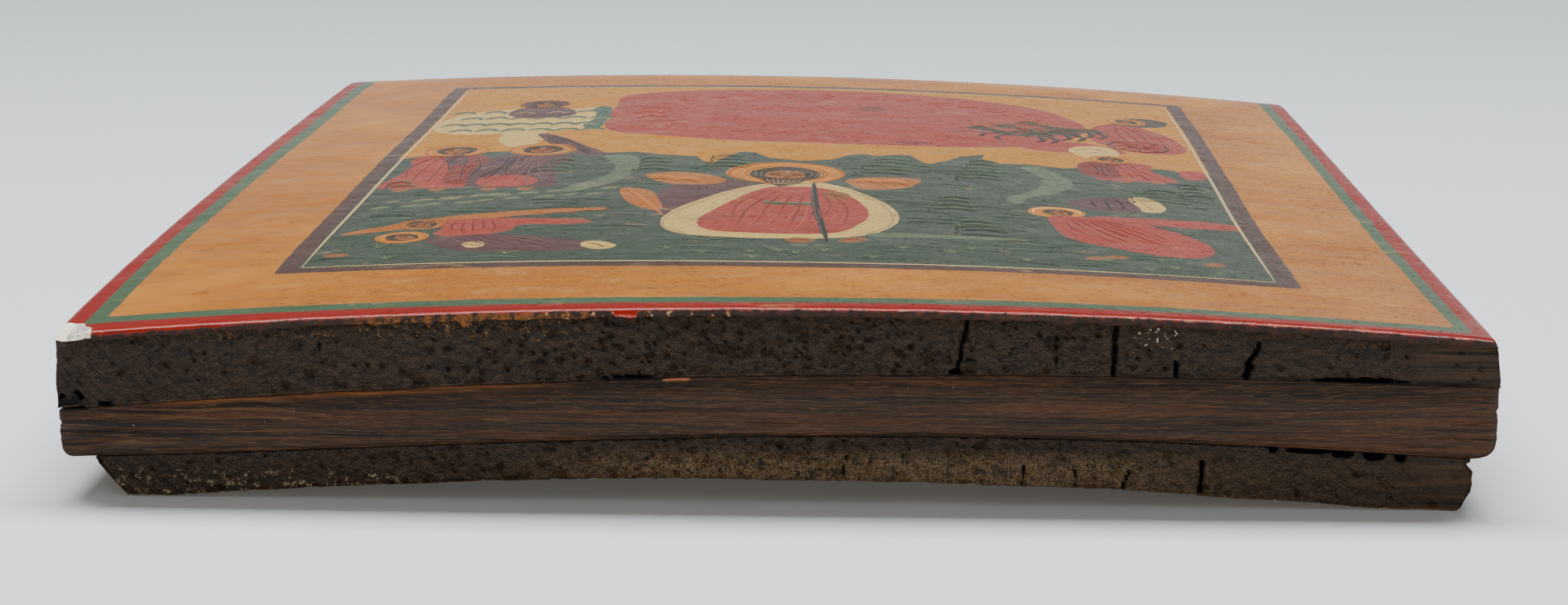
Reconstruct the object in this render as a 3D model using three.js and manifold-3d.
// A painted icon lying on its back: a warped board with a tapered batten let into a groove at each end,
// and a chalk ground with the painting on its face. Millimetres; +Z comes out of the face, +Y runs to the
// icon's upper end, and the origin is on the table under the middle of the board.
import * as THREE from "three";
import { ConvexGeometry } from "three/addons/geometries/ConvexGeometry.js";
import { mergeVertices } from "three/addons/utils/BufferGeometryUtils.js";
import Module from "manifold-3d";

// The board as a whole
const boardWidth = 268;
const boardLength = 311;
const faceEdgeHeight = 32.1; // of the painted face above the table, mean of the two lower corners
const rightRise = 1.2; // how much higher the right lower corner is than the left one

// How the board has warped
const crownLower = 5.6; // rise of the face's middle over its long edges, at the lower end
const crownUpper = 4.9; // the same at the upper end
const lengthBow = 0.8; // rise of the face's middle over its two ends
const twist = 6.2; // by which the upper end turns: left edge up, right edge down
const twistReach = 60; // distance from the lower end over which most of the twist builds up
const rollLength = 18; // stretch at the upper end where the face rolls down
const rollSlope = 0.2;
const rollSoftness = 3; // length over which that slope sets in

// Chalk ground with the painting
const gessoThickness = 1.5;
const gessoRound = 1.3; // radius of its worn upper edges
const chipAcross = 6.5; // the knocked-off lower left corner, along the lower end
const chipAlong = 8; // and along the left edge
const chipDepth = 1.2; // at the corner itself

// Back of the board
const backArch = 4.4; // depth of the hollow back at the middle
const landInset = 21.5; // from the board's side to where the hollow begins
const bevelInsetLeft = 6.4; // the left back edge is stepped in, then bevelled
const bevelWidthLeft = 6.3;
const stepInsetRight = 4.8; // the right back edge is only stepped in, and leans a little
const stepLeanRight = 1;

// Grooves and their battens
const lowerLipLeft = 7.3; // board left under a groove at its left and right ends
const lowerLipRight = 9.4;
const grooveArch = 4.5; // the grooves bow with the board
const grooveBluntness = 1.7; // exponent of that bow: 2 is a parabola, less is more pointed
const floorSkew = 1.7; // the lower groove's floor is fuller at the right of the middle
const battenDepth = 28;
const battenRecess = 0.4; // its face lies this much behind the board's end
const battenShy = 0.2; // its ends stop this much short of the board's sides
const lowerBattenThin = 9.3; // at the left end
const lowerBattenThick = 14; // at the right end
const upperBattenThick = 12.5; // at the left end
const upperBattenThin = 8; // at the right end
const wornLeftLength = 2.5; // the lower corners of a batten's ends are worn round
const wornLeftRise = 2.4;
const wornRightLength = 5.6;
const wornRightRise = 3;
const brokenWidth = 5.4; // where the upper lip has broken out at the lower left corner
const brokenHeight = 2.8;
const brokenDepth = 6;

const fitGap = 0.3; // between pieces that sit against each other
const cutterReach = 5; // how far a cutter runs past the surface it opens

// How finely the curved faces are divided
const acrossSteps = 22;
const alongSteps = 22;
const battenSteps = 36;

const halfWidth = boardWidth / 2;
const halfLength = boardLength / 2;

const wasm = await Module();
wasm.setup();

// Height of the painted face over the table at a place on the board.
function faceHeight(x, y) {
  const u = x / halfWidth;
  const v = (y + halfLength) / boardLength;
  const crown = (crownLower + (crownUpper - crownLower) * v) * (1 - u * u);
  const turned = (1 - Math.exp(-(y + halfLength) / twistReach)) / (1 - Math.exp(-boardLength / twistReach));
  const pastKnee = (y - (halfLength - rollLength)) / rollSoftness;
  const roll = rollSlope * rollSoftness * Math.log1p(Math.exp(pastKnee));
  const bow = lengthBow * (1 - (2 * v - 1) ** 2);
  return faceEdgeHeight + (u * rightRise) / 2 + crown - (u * twist * turned) / 2 + bow - roll;
}

// Height of the hollow back: an arch between two flat lands.
function backHeight(x) {
  const span = halfWidth - landInset;
  return backArch * Math.max(0, 1 - (x / span) ** 2);
}

// A batten's underside and top at a place across the board. Its groove follows the same two lines.
function battenUnderside(x, skew) {
  const u = x / halfWidth;
  const lip = lowerLipLeft + ((lowerLipRight - lowerLipLeft) * (u + 1)) / 2;
  return lip + bowOf(u) + skew * u * (1 - u * u);
}

function battenTop(x, leftThickness, rightThickness) {
  const u = x / halfWidth;
  const thickness = leftThickness + ((rightThickness - leftThickness) * (u + 1)) / 2;
  return battenUnderside(x, 0) + thickness;
}

function bowOf(u) {
  return grooveArch * (1 - Math.abs(u) ** grooveBluntness);
}

// Evenly spaced values from a to b.
function spaced(a, b, steps) {
  return Array.from({ length: steps + 1 }, (_, i) => a + ((b - a) * i) / steps);
}

// A closed solid through rings of points that all have the same count. Each ring turns anticlockwise seen
// from the first ring's side, and the two end rings are closed with flat triangles.
function loft(rings, flatten) {
  const count = rings[0].length;
  const positions = rings.flat().flatMap((p) => [p.x, p.y, p.z]);
  const faces = [];
  for (let r = 0; r + 1 < rings.length; r++) {
    for (let i = 0; i < count; i++) {
      const j = (i + 1) % count;
      const a = r * count + i;
      const b = r * count + j;
      faces.push([a, b + count, b], [a, a + count, b + count]);
    }
  }
  const last = (rings.length - 1) * count;
  for (const [a, b, c] of THREE.ShapeUtils.triangulateShape(rings[0].map(flatten), [])) {
    faces.push([a, b, c]);
  }
  for (const [a, b, c] of THREE.ShapeUtils.triangulateShape(rings[rings.length - 1].map(flatten), [])) {
    faces.push([last + c, last + b, last + a]);
  }
  return geometryOf(positions, faces.flat());
}

function geometryOf(positions, index) {
  const geometry = new THREE.BufferGeometry();
  geometry.setAttribute("position", new THREE.Float32BufferAttribute(positions, 3));
  geometry.setIndex(index);
  return geometry;
}

// A closed solid between an upper and a lower height over a grid of places.
function slab(xs, ys, upper, lower) {
  const across = xs.length;
  const layer = across * ys.length;
  const positions = [];
  for (const height of [lower, upper]) {
    for (const y of ys) {
      for (const x of xs) {
        positions.push(x, y, height(x, y));
      }
    }
  }
  const faces = [];
  const quad = (a, b, c, d) => faces.push(a, b, c, a, c, d);
  for (let j = 0; j + 1 < ys.length; j++) {
    for (let i = 0; i + 1 < across; i++) {
      const a = j * across + i;
      quad(layer + a, layer + a + 1, layer + a + across + 1, layer + a + across);
      quad(a, a + across, a + across + 1, a + 1);
    }
  }
  const end = (ys.length - 1) * across;
  for (let i = 0; i + 1 < across; i++) {
    quad(i, i + 1, layer + i + 1, layer + i);
    quad(end + i + 1, end + i, layer + end + i, layer + end + i + 1);
  }
  for (let j = 0; j + 1 < ys.length; j++) {
    const left = j * across;
    const right = left + across - 1;
    quad(left + across, left, layer + left, layer + left + across);
    quad(right, right + across, layer + right + across, layer + right);
  }
  return geometryOf(positions, faces);
}

function solidOf(geometry) {
  const bare = geometry.clone();
  bare.deleteAttribute("normal");
  bare.deleteAttribute("uv");
  const merged = mergeVertices(bare);
  const mesh = new wasm.Mesh({
    numProp: 3,
    vertProperties: merged.getAttribute("position").array,
    triVerts: Uint32Array.from(merged.index.array),
  });
  return new wasm.Manifold(mesh);
}

function cut(geometry, ...cutters) {
  const left = cutters.reduce((solid, cutter) => solid.subtract(solidOf(cutter)), solidOf(geometry));
  const mesh = left.getMesh();
  return geometryOf(mesh.vertProperties, Array.from(mesh.triVerts));
}

function named(name, geometry, color, roughness) {
  geometry.computeVertexNormals();
  const mesh = new THREE.Mesh(geometry, new THREE.MeshStandardMaterial({ color, roughness, metalness: 0 }));
  mesh.name = name;
  return mesh;
}

// Where the board's two ends are: the sign of y, and the batten that each takes.
const ends = [
  { name: "bottom_batten", side: -1, left: lowerBattenThin, right: lowerBattenThick, skew: floorSkew },
  { name: "top_batten", side: 1, left: upperBattenThick, right: upperBattenThin, skew: 0 },
];

// A tapered, bowed batten that lies across one end, its lower corners worn round.
function battenGeometry(end) {
  const reach = halfWidth - battenShy;
  const worn = (x) => {
    const left = Math.max(0, 1 - (x + reach) / wornLeftLength);
    const right = Math.max(0, 1 - (reach - x) / wornRightLength);
    return wornLeftRise * (1 - Math.sqrt(1 - left * left)) + wornRightRise * (1 - Math.sqrt(1 - right * right));
  };
  const xs = [
    ...spaced(-reach, -reach + wornLeftLength, 4),
    ...spaced(-reach + wornLeftLength, reach - wornRightLength, battenSteps).slice(1),
    ...spaced(reach - wornRightLength, reach, 5).slice(1),
  ];
  const outer = end.side * (halfLength - battenRecess);
  const inner = end.side * (halfLength - battenDepth);
  const ys = [outer, inner].sort((a, b) => a - b);
  const top = (x) => battenTop(x, end.left, end.right);
  return slab(xs, ys, top, (x) => battenUnderside(x, end.skew) + worn(x));
}

// What is cut from the board to take that batten: open at the board's end and at both its sides.
function grooveCutter(end) {
  const xs = spaced(-halfWidth - cutterReach, halfWidth + cutterReach, battenSteps);
  const outer = end.side * (halfLength + cutterReach);
  const inner = end.side * (halfLength - battenDepth - fitGap);
  const ys = [outer, inner].sort((a, b) => a - b);
  const roof = (x) => battenTop(x, end.left, end.right) + fitGap;
  return slab(xs, ys, roof, (x) => battenUnderside(x, end.skew) - fitGap);
}

// The piece of the upper lip that has broken out over the batten's left end.
function brokenCorner() {
  const inner = -halfWidth + brokenWidth;
  const foot = battenTop(-halfWidth, lowerBattenThin, lowerBattenThick);
  const edge = -halfLength + brokenDepth;
  const points = [
    [-halfWidth - cutterReach, -halfLength - cutterReach],
    [inner, -halfLength - cutterReach],
    [inner, -halfLength],
    [-halfWidth, edge],
    [-halfWidth - cutterReach, edge],
  ];
  const solid = [];
  for (const [x, y] of points) {
    solid.push(new THREE.Vector3(x, y, foot - fitGap));
    solid.push(new THREE.Vector3(x, y, foot + brokenHeight));
  }
  return new ConvexGeometry(solid);
}

// The board itself, lofted along its length from one outline across it.
function boardGeometry() {
  const span = halfWidth - landInset;
  const inLeft = -halfWidth + bevelInsetLeft;
  const inRight = halfWidth - stepInsetRight;
  const ledgeLeft = battenUnderside(inLeft, floorSkew);
  const ledgeRight = battenUnderside(inRight, floorSkew);
  const ringAt = (y) => {
    const top = (x) => faceHeight(x, y) - gessoThickness - fitGap;
    const outline = [
      [inLeft + bevelWidthLeft, 0],
      ...spaced(-span, span, acrossSteps).map((x) => [x, backHeight(x)]),
      [inRight - stepLeanRight, 0],
      [inRight, ledgeRight],
      [halfWidth, ledgeRight],
      ...spaced(halfWidth, -halfWidth, acrossSteps).map((x) => [x, top(x)]),
      [-halfWidth, ledgeLeft],
      [inLeft, ledgeLeft],
    ];
    return outline.map(([x, z]) => new THREE.Vector3(x, y, z));
  };
  const knee = halfLength - rollLength - 2 * rollSoftness;
  const ys = [...spaced(-halfLength, knee, alongSteps), ...spaced(knee, halfLength, 8).slice(1)];
  return loft(ys.map(ringAt), (p) => new THREE.Vector2(p.x, p.z));
}

// The chalk ground: one sheet over the whole face, its upper edges worn round.
function gessoGeometry() {
  const dropAt = (x, y) => {
    const a = Math.max(0, gessoRound - (halfWidth - Math.abs(x)));
    const b = Math.max(0, gessoRound - (halfLength - Math.abs(y)));
    const out = Math.min(gessoRound, Math.hypot(a, b));
    return gessoRound - Math.sqrt(gessoRound * gessoRound - out * out);
  };
  const roundSteps = [0, 0.08, 0.3, 0.62, 1].map((s) => s * gessoRound);
  const withRounds = (half, steps) => {
    const inner = spaced(-half + gessoRound, half - gessoRound, steps).slice(1, -1);
    return [...roundSteps.map((s) => s - half), ...inner, ...roundSteps.map((s) => half - s).reverse()];
  };
  const top = (x, y) => faceHeight(x, y) - dropAt(x, y);
  const underside = (x, y) => faceHeight(x, y) - gessoThickness;
  return slab(withRounds(halfWidth, acrossSteps), withRounds(halfLength, alongSteps), top, underside);
}

// The wedge of ground that is missing at the lower left corner.
function chipCutter() {
  const corner = faceHeight(-halfWidth, -halfLength);
  const fallOn = (x, y) => chipDepth * (x / chipAcross + y / chipAlong - 1);
  const at = (x, y) => new THREE.Vector3(-halfWidth + x, -halfLength + y, corner + fallOn(x, y));
  const low = [
    at(-cutterReach, -cutterReach),
    at(chipAcross + cutterReach, -cutterReach),
    at(-cutterReach, chipAlong + cutterReach),
  ];
  const high = low.map((p) => new THREE.Vector3(p.x, p.y, corner + cutterReach));
  return new ConvexGeometry([...low, ...high]);
}

const icon = new THREE.Group();
const board = cut(boardGeometry(), ...ends.map(grooveCutter), brokenCorner());
icon.add(named("panel", board, "#463528", 0.85));
for (const end of ends) {
  icon.add(named(end.name, battenGeometry(end), "#5a4331", 0.7));
}
icon.add(named("painted_gesso", cut(gessoGeometry(), chipCutter()), "#b98a5a", 0.3));

export default icon;
